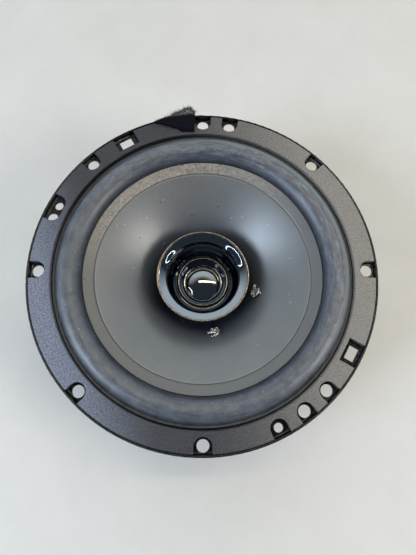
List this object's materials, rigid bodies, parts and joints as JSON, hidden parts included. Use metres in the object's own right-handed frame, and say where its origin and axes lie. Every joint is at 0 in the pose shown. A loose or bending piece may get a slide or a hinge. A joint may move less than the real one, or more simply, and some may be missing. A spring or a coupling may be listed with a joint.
{
  "type": "coaxial car loudspeaker",
  "caption": "Round coaxial car speaker: pressed-steel basket, trim ring, rubber surround, plastic cone, ferrite motor and a pole-mounted dome tweeter in a glossy bell.",
  "frame": {"origin": "on the axis, in the plane of the flange's rear face, which seats on the car's panel", "axes": "+Z along the axis towards the listener; +X and +Y in the plane of the flange, through holes of the mounting circle, with the terminal board at -45 degrees"},
  "size_m": [0.165, 0.1674, 0.0642],
  "materials": {
    "basket_paint": "gloss black stove enamel on pressed steel",
    "grained_plastic": "fine moulded grain, black",
    "felt": "matted black felt",
    "surround_rubber": "satin butyl rubber with a bluish bloom",
    "spider_cloth": "resin-stiffened cotton cloth",
    "zinc_steel": "bright zinc plate",
    "ferrite": "ground ferrite, dark grey",
    "gloss_black": "high gloss black",
    "dome_film": "mirror-bright metallised film",
    "neodymium": "nickel plate",
    "black_nylon": "satin black",
    "fibre_board": "hard phenolic paper board",
    "tinned_brass": "bright tin plate",
    "capacitor_sleeve": "shrink sleeve, dark blue",
    "tinned_wire": "tinned copper wire",
    "tinsel": "braided tinsel",
    "wire_red": "PVC insulation, red",
    "wire_black": "PVC insulation, black",
    "cone_plastic": "satin dark grey polypropylene",
    "former_aluminium": "bare aluminium foil",
    "copper": "enamelled copper wire",
    "black_glue": "glossy black rubber cement",
    "lacquered_wire": "wire coated with black cement"
  },
  "bodies": {
    "frame": {"basket": "basket_paint", "trim_ring": "grained_plastic", "seal_scrap": "felt", "surround": "surround_rubber", "spider": "spider_cloth", "top_plate": "zinc_steel", "magnet": "ferrite", "yoke": "zinc_steel", "frame_rivets": "zinc_steel", "tweeter_housing": "gloss_black", "tweeter_retaining_ring": "gloss_black", "tweeter_surround": "dome_film", "tweeter_cup": "zinc_steel", "tweeter_magnet": "neodymium", "tweeter_pole_piece": "zinc_steel", "tweeter_spacer": "black_nylon", "tweeter_washer": "zinc_steel", "tweeter_bolt": "zinc_steel", "terminal_board": "fibre_board", "terminal_positive": "tinned_brass", "terminal_negative": "tinned_brass", "terminal_rivets": "tinned_brass", "crossover_capacitor": "capacitor_sleeve", "capacitor_leads": "tinned_wire", "tinsel_lead_positive": "tinsel", "tinsel_lead_negative": "tinsel", "tweeter_wire_positive": "wire_red", "tweeter_wire_negative": "wire_black"},
    "cone_assembly": {"cone": "cone_plastic", "voice_coil_former": "former_aluminium", "voice_coil_winding": "copper", "lead_joint_positive": "black_glue", "lead_joint_negative": "black_glue", "voice_coil_wires": "lacquered_wire"},
    "tweeter_diaphragm": {"tweeter_dome": "dome_film", "tweeter_voice_coil": "copper"}
  },
  "joints": [
    {"name": "cone_travel", "type": "slide", "parent": "frame", "child": "cone_assembly", "axis": [0, 0, 1], "range_m": [-0.0035, 0.0035], "stiffness_N_per_m": 1700, "deforming": ["surround", "spider", "tinsel_lead_positive", "tinsel_lead_negative"]},
    {"name": "tweeter_travel", "type": "slide", "parent": "frame", "child": "tweeter_diaphragm", "axis": [0, 0, 1], "range_m": [-0.0003, 0.0003], "stiffness_N_per_m": 2000, "deforming": ["tweeter_surround"]}
  ]
}
